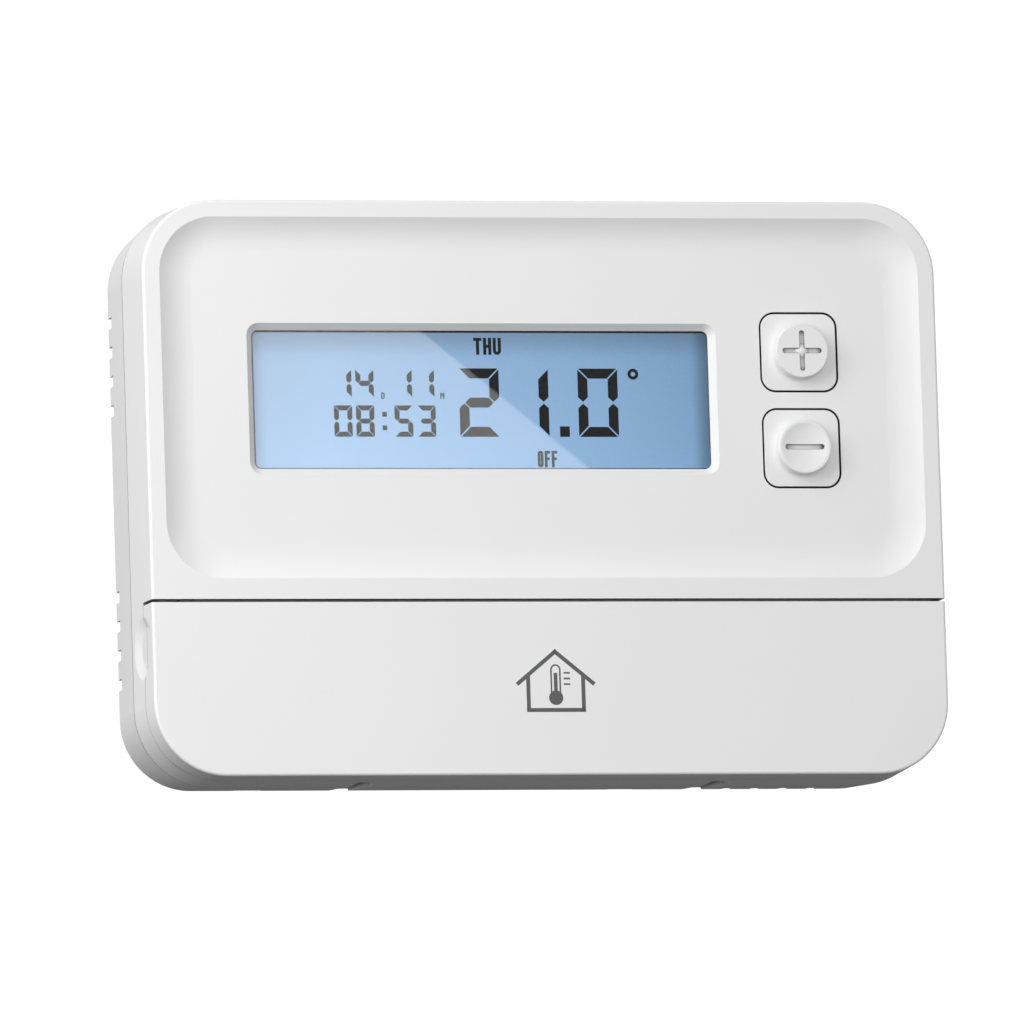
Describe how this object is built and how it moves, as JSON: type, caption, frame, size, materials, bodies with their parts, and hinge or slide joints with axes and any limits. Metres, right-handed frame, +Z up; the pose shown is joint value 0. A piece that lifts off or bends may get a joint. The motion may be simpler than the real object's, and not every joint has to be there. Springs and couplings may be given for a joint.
{
  "type": "programmable room thermostat",
  "caption": "Wall-mounted programmable heating timer and room thermostat with backlit display, plus and minus keys, and a flip-down door over the keys and batteries.",
  "frame": {"origin": "centre of the wall face, on the back of the rear case", "axes": "+X to the right seen from the room, +Z up, +Y into the wall; the front faces -Y"},
  "size_m": [0.1308, 0.0266, 0.0926],
  "materials": {
    "case_white": "fine satin moulded ABS",
    "base_white": "fine satin moulded ABS",
    "door_white": "fine satin moulded ABS",
    "key_white": "satin moulded ABS",
    "key_grey": "satin moulded ABS",
    "clear_window": "polished acrylic",
    "lcd": "backlit liquid-crystal glass",
    "natural_plastic": "natural ABS",
    "light_guide": "clear acrylic, blue backlit",
    "led": "moulded LED package",
    "elastomer": "silicone elastomer strip",
    "board": "green solder resist on FR4",
    "chip_black": "moulded epoxy",
    "can_metal": "drawn can",
    "chip_part": "ceramic chip",
    "relay_case": "moulded relay cover",
    "sensor_epoxy": "dipped epoxy bead",
    "screw_steel": "zinc-plated steel",
    "switch_black": "moulded nylon",
    "switch_stem": "moulded nylon",
    "tray_white": "moulded ABS",
    "cell_jacket": "printed shrink sleeve with steel ends",
    "spring_steel": "nickel-plated spring steel",
    "terminal_body": "green polyamide",
    "terminal_brass": "plated brass",
    "pins_metal": "header with tinned pins"
  },
  "bodies": {
    "housing": {"front_case": "case_white", "rear_case": "base_white", "window_lens": "clear_window", "lcd_cell": "lcd", "lcd_holder": "natural_plastic", "light_guide": "light_guide", "backlight_leds": "led", "zebra_strip": "elastomer", "main_board": "board", "controller_chip": "chip_black", "driver_chip": "chip_black", "clock_crystal": "can_metal", "capacitors": "can_metal", "chip_resistors": "chip_part", "relay": "relay_case", "temperature_sensor": "sensor_epoxy", "board_screws": "screw_steel", "switch_bodies": "switch_black", "battery_tray": "tray_white", "upper_cell": "cell_jacket", "lower_cell": "cell_jacket", "battery_springs": "spring_steel", "battery_bridge": "spring_steel", "battery_contacts": "spring_steel", "terminal_block": "terminal_body", "terminal_screws": "screw_steel", "terminal_clamps": "terminal_brass", "base_socket": "chip_black", "board_pins": "pins_metal"},
    "door": {"door": "door_white"},
    "plus": {"plus_key": "key_white", "plus_stem": "switch_stem"},
    "minus": {"minus_key": "key_white", "minus_stem": "switch_stem"},
    "menu": {"menu_key": "key_grey", "menu_stem": "switch_stem"},
    "select": {"select_key": "key_grey", "select_stem": "switch_stem"},
    "advance": {"advance_key": "key_grey", "advance_stem": "switch_stem"},
    "boost": {"boost_key": "key_grey", "boost_stem": "switch_stem"}
  },
  "joints": [
    {"name": "door_hinge", "type": "hinge", "parent": "housing", "child": "door", "pos_m": [0, -0.0231, -0.043], "axis": [1, 0, 0], "range_deg": [0, 90]},
    {"name": "plus_press", "type": "slide", "parent": "housing", "child": "plus", "axis": [0, 1, 0], "range_m": [0, 0.0006], "stiffness_N_per_m": 1500, "springref_m": -0.0004},
    {"name": "minus_press", "type": "slide", "parent": "housing", "child": "minus", "axis": [0, 1, 0], "range_m": [0, 0.0006], "stiffness_N_per_m": 1500, "springref_m": -0.0004},
    {"name": "menu_press", "type": "slide", "parent": "housing", "child": "menu", "axis": [0, 1, 0], "range_m": [0, 0.0006], "stiffness_N_per_m": 1500, "springref_m": -0.0004},
    {"name": "select_press", "type": "slide", "parent": "housing", "child": "select", "axis": [0, 1, 0], "range_m": [0, 0.0006], "stiffness_N_per_m": 1500, "springref_m": -0.0004},
    {"name": "advance_press", "type": "slide", "parent": "housing", "child": "advance", "axis": [0, 1, 0], "range_m": [0, 0.0006], "stiffness_N_per_m": 1500, "springref_m": -0.0004},
    {"name": "boost_press", "type": "slide", "parent": "housing", "child": "boost", "axis": [0, 1, 0], "range_m": [0, 0.0006], "stiffness_N_per_m": 1500, "springref_m": -0.0004}
  ]
}
